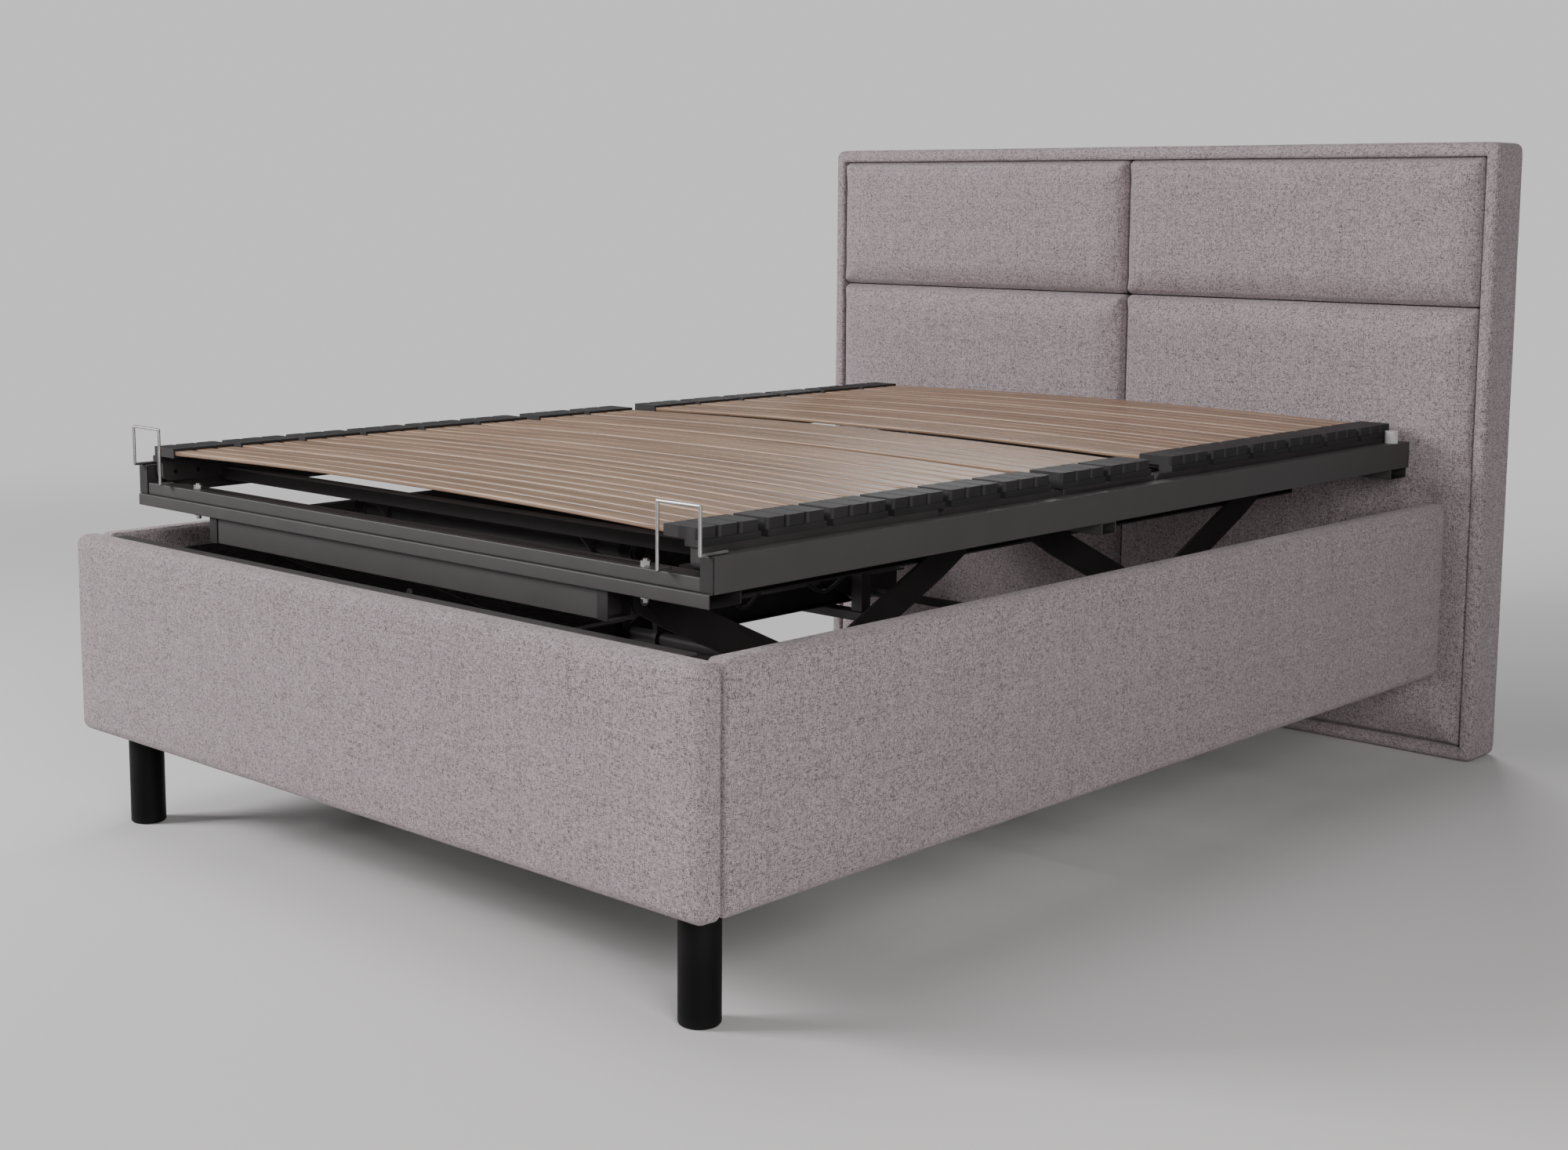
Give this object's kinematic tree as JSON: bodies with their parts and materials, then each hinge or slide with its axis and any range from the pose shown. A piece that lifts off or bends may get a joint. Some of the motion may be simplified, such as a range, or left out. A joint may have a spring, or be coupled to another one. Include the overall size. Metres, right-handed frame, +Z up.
{
  "type": "adjustable bed base",
  "caption": "Upholstered box bed with a tall padded headboard; a sectioned slat frame inside it is raised by scissor lifts, and its back and leg sections tilt.",
  "frame": {"origin": "on the floor under the middle of the overall box", "axes": "+X across the bed to the right when facing the headboard, +Y along the bed from the foot to the headboard, +Z up"},
  "size_m": [1.68, 2.191, 1.214],
  "materials": {
    "panel_board": "chipboard faced with dark foil",
    "batten_wood": "sawn spruce",
    "backing_cloth": "thin non-woven cloth",
    "melange_fabric": "melange woven upholstery",
    "leg_lacquer": "satin black lacquer",
    "zinc_steel": "zinc plated",
    "frame_steel": "fine-textured dark grey powder coat",
    "arm_steel": "matt black powder coat",
    "black_plastic": "moulded",
    "lead_sheath": "soft PVC",
    "grey_plastic": "moulded, satin",
    "holder_rubber": "moulded",
    "beech": "laminated beech with clear lacquer"
  },
  "bodies": {
    "bed_frame": {"foot_board": "panel_board", "side_board_left": "panel_board", "side_board_right": "panel_board", "foot_padding": "melange_fabric", "side_padding_left": "melange_fabric", "side_padding_right": "melange_fabric", "headboard_board": "panel_board", "headboard_battens": "batten_wood", "headboard_back": "backing_cloth", "headboard_border": "melange_fabric", "headboard_pad_upper_left": "melange_fabric", "headboard_pad_upper_right": "melange_fabric", "headboard_pad_lower_left": "melange_fabric", "headboard_pad_lower_right": "melange_fabric", "legs": "leg_lacquer", "leg_plates": "zinc_steel", "corner_blocks": "panel_board", "panel_brackets": "zinc_steel", "support_angles": "frame_steel", "base_cross_tubes": "frame_steel", "base_rails": "frame_steel", "lift_motor_foot": "black_plastic", "lift_motor_head": "black_plastic"},
    "foot_outer_arms": {"foot_outer_arms": "arm_steel", "foot_outer_rollers": "zinc_steel"},
    "foot_inner_arms": {"foot_inner_arms": "arm_steel", "foot_inner_rollers": "zinc_steel"},
    "head_outer_arms": {"head_outer_arms": "arm_steel", "head_outer_rollers": "zinc_steel"},
    "head_inner_arms": {"head_inner_arms": "arm_steel", "head_inner_rollers": "zinc_steel"},
    "foot_spindle": {"foot_spindle": "zinc_steel"},
    "head_spindle": {"head_spindle": "zinc_steel"},
    "lift_frame": {"frame_rail_left": "frame_steel", "frame_rail_right": "frame_steel", "foot_beams": "frame_steel", "head_beams": "frame_steel", "frame_end_caps": "black_plastic", "frame_bolts": "zinc_steel", "subframe_rails": "frame_steel", "subframe_beams": "frame_steel", "head_posts": "grey_plastic", "mattress_retainers": "zinc_steel", "drive_housing": "black_plastic", "control_box": "black_plastic", "frame_lead": "lead_sheath", "seat_frame": "frame_steel", "seat_slats": "beech", "seat_slat_holders": "holder_rubber"},
    "back_section": {"back_frame": "frame_steel", "back_slats": "beech", "back_slat_holders": "holder_rubber"},
    "thigh_section": {"thigh_frame": "frame_steel", "thigh_slats": "beech", "thigh_slat_holders": "holder_rubber"},
    "calf_section": {"calf_frame": "frame_steel", "calf_slats": "beech", "calf_slat_holders": "holder_rubber"},
    "back_slider": {"back_slider": "zinc_steel"},
    "thigh_slider": {"thigh_slider": "zinc_steel"}
  },
  "joints": [
    {"name": "lift", "type": "hinge", "parent": "bed_frame", "child": "foot_outer_arms", "pos_m": [0, -0.9345, 0.217], "axis": [1, 0, 0], "range_deg": [-16.7, 5.2]},
    {"name": "foot_inner_swing", "type": "hinge", "parent": "foot_outer_arms", "child": "foot_inner_arms", "pos_m": [0, -0.5835, 0.3785], "axis": [1, 0, 0], "range_deg": [-10.5, 33.5]},
    {"name": "frame_level", "type": "hinge", "parent": "foot_inner_arms", "child": "lift_frame", "pos_m": [0, -0.9345, 0.54], "axis": [1, 0, 0], "range_deg": [-16.8, 5.3]},
    {"name": "head_outer_swing", "type": "hinge", "parent": "bed_frame", "child": "head_outer_arms", "pos_m": [0, -0.0135, 0.217], "axis": [1, 0, 0], "range_deg": [-16.8, 5.3]},
    {"name": "head_inner_swing", "type": "hinge", "parent": "head_outer_arms", "child": "head_inner_arms", "pos_m": [0, 0.3375, 0.3785], "axis": [1, 0, 0], "range_deg": [-10.5, 33.5]},
    {"name": "foot_spindle_slide", "type": "slide", "parent": "bed_frame", "child": "foot_spindle", "axis": [0, 1, 0], "range_m": [-0.0112, 0.035]},
    {"name": "head_spindle_slide", "type": "slide", "parent": "bed_frame", "child": "head_spindle", "axis": [0, 1, 0], "range_m": [-0.0112, 0.035]},
    {"name": "back_tilt", "type": "hinge", "parent": "lift_frame", "child": "back_section", "pos_m": [0, 0.1125, 0.623], "axis": [1, 0, 0], "range_deg": [0, 65]},
    {"name": "thigh_tilt", "type": "hinge", "parent": "lift_frame", "child": "thigh_section", "pos_m": [0, -0.1895, 0.623], "axis": [-1, 0, 0], "range_deg": [0, 35]},
    {"name": "calf_fold", "type": "hinge", "parent": "thigh_section", "child": "calf_section", "pos_m": [0, -0.4665, 0.623], "axis": [-1, 0, 0], "range_deg": [-53, 0.1]},
    {"name": "back_slider_push", "type": "slide", "parent": "lift_frame", "child": "back_slider", "axis": [0, 1, 0], "range_m": [0, 0.037]},
    {"name": "thigh_slider_push", "type": "slide", "parent": "lift_frame", "child": "thigh_slider", "axis": [0, -1, 0], "range_m": [0, 0.021]}
  ],
  "couplings": [
    {"joint": "foot_inner_swing", "follows": "lift", "ratio": -2},
    {"joint": "frame_level", "follows": "lift", "ratio": 1},
    {"joint": "head_outer_swing", "follows": "lift", "ratio": 1},
    {"joint": "head_inner_swing", "follows": "lift", "ratio": -2},
    {"joint": "foot_spindle_slide", "follows": "lift", "m_per_rad": -0.119},
    {"joint": "head_spindle_slide", "follows": "lift", "m_per_rad": -0.119},
    {"joint": "calf_fold", "follows": "thigh_tilt", "ratio": -1.509},
    {"joint": "back_slider_push", "follows": "back_tilt", "m_per_rad": 0.03221},
    {"joint": "thigh_slider_push", "follows": "thigh_tilt", "m_per_rad": 0.03347}
  ]
}
